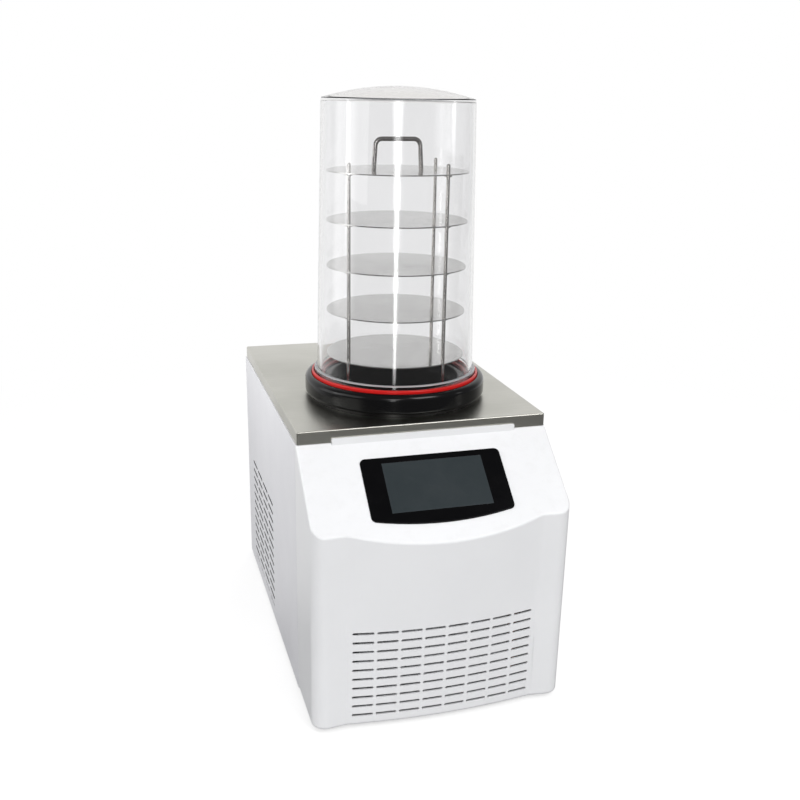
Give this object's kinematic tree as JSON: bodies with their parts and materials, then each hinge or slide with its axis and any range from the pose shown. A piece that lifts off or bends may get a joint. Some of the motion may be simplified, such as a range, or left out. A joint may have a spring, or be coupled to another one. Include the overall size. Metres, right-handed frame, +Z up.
{
  "type": "bench-top freeze dryer",
  "caption": "Bench-top freeze dryer: clear bell chamber with shelf rack on a black seat ring, steel-topped white cabinet, sloped touch console and slotted vents.",
  "frame": {"origin": "bottom centre of the whole part, on the plane of the rubber feet", "axes": "+Z up through the bell, -Y towards the console, +X to the right seen from the front"},
  "size_m": [0.345, 0.5959, 0.802],
  "materials": {
    "white_moulding": "satin moulded",
    "black_bezel": "glossy",
    "display_glass": "glossy",
    "white_paint": "fine powder coat",
    "galvanised": "zinc coated sheet",
    "zinc_steel": "zinc plated",
    "stainless": "satin",
    "stainless_polished": "polished",
    "black_ring": "semi-gloss",
    "red_silicone": "satin",
    "clear_acrylic": "clear, polished",
    "copper": "drawn",
    "foam": "foam",
    "brass": "machined",
    "grey_plastic": "extruded",
    "black_plastic": "moulded",
    "rubber": "moulded",
    "black_paint": "gloss enamel",
    "fin_aluminium": "plain fin stock",
    "board_green": "solder mask"
  },
  "bodies": {
    "cabinet": {"front_panel": "white_moulding", "touch_panel": "black_bezel", "display": "display_glass", "side_panel_left": "white_paint", "side_panel_right": "white_paint", "rear_panel": "white_paint", "base_pan": "galvanised", "base_screws": "zinc_steel", "rear_screws": "zinc_steel", "top_plate": "stainless", "seat_ring": "black_ring", "seal_ring": "red_silicone", "bell_jar": "clear_acrylic", "rack_top_plate": "stainless_polished", "rack_handle": "stainless_polished", "rack_collars": "stainless_polished", "shelf_1": "stainless_polished", "shelf_2": "stainless_polished", "shelf_3": "stainless_polished", "shelf_4": "stainless_polished", "rack_rod_1": "stainless_polished", "rack_rod_2": "stainless_polished", "rack_rod_3": "stainless_polished", "cold_trap": "stainless_polished", "trap_floor": "stainless_polished", "evaporator_coil": "copper", "insulation_jacket": "foam", "vacuum_pipe": "stainless_polished", "vacuum_port": "stainless_polished", "pressure_sensor": "stainless_polished", "drain_pipe": "grey_plastic", "drain_valve": "brass", "release_valve": "brass", "compressor": "black_paint", "compressor_grommets": "rubber", "terminal_box": "black_plastic", "condenser": "fin_aluminium", "fan_shroud": "galvanised", "fan_motor": "black_paint", "fan_bracket": "galvanised", "discharge_line": "copper", "filter_drier": "copper", "liquid_line": "copper", "suction_line": "copper", "power_supply": "galvanised", "control_board": "board_green", "mains_inlet": "black_plastic", "pump_socket": "black_plastic", "switch_housing": "black_plastic", "foot_front_left": "rubber", "foot_front_right": "rubber", "foot_rear_left": "rubber", "foot_rear_right": "rubber"},
    "fan": {"fan_blade": "black_plastic"},
    "rocker": {"power_rocker": "black_plastic"},
    "lever": {"drain_lever": "black_plastic"},
    "knob": {"release_knob": "black_plastic"}
  },
  "joints": [
    {"name": "fan_spin", "type": "hinge", "parent": "cabinet", "child": "fan", "pos_m": [0, -0.19345, 0.0722], "axis": [0, 1, 0], "continuous": true},
    {"name": "rocker_tilt", "type": "hinge", "parent": "cabinet", "child": "rocker", "pos_m": [0.058, 0.27655, 0.062], "axis": [1, 0, 0], "range_deg": [0, 16]},
    {"name": "lever_turn", "type": "hinge", "parent": "cabinet", "child": "lever", "pos_m": [0, 0.29355, 0.13], "axis": [0, 1, 0], "range_deg": [0, 90]},
    {"name": "knob_turn", "type": "hinge", "parent": "cabinet", "child": "knob", "pos_m": [0.06, 0.28155, 0.335], "axis": [0, 1, 0], "range_deg": [0, 270]}
  ]
}
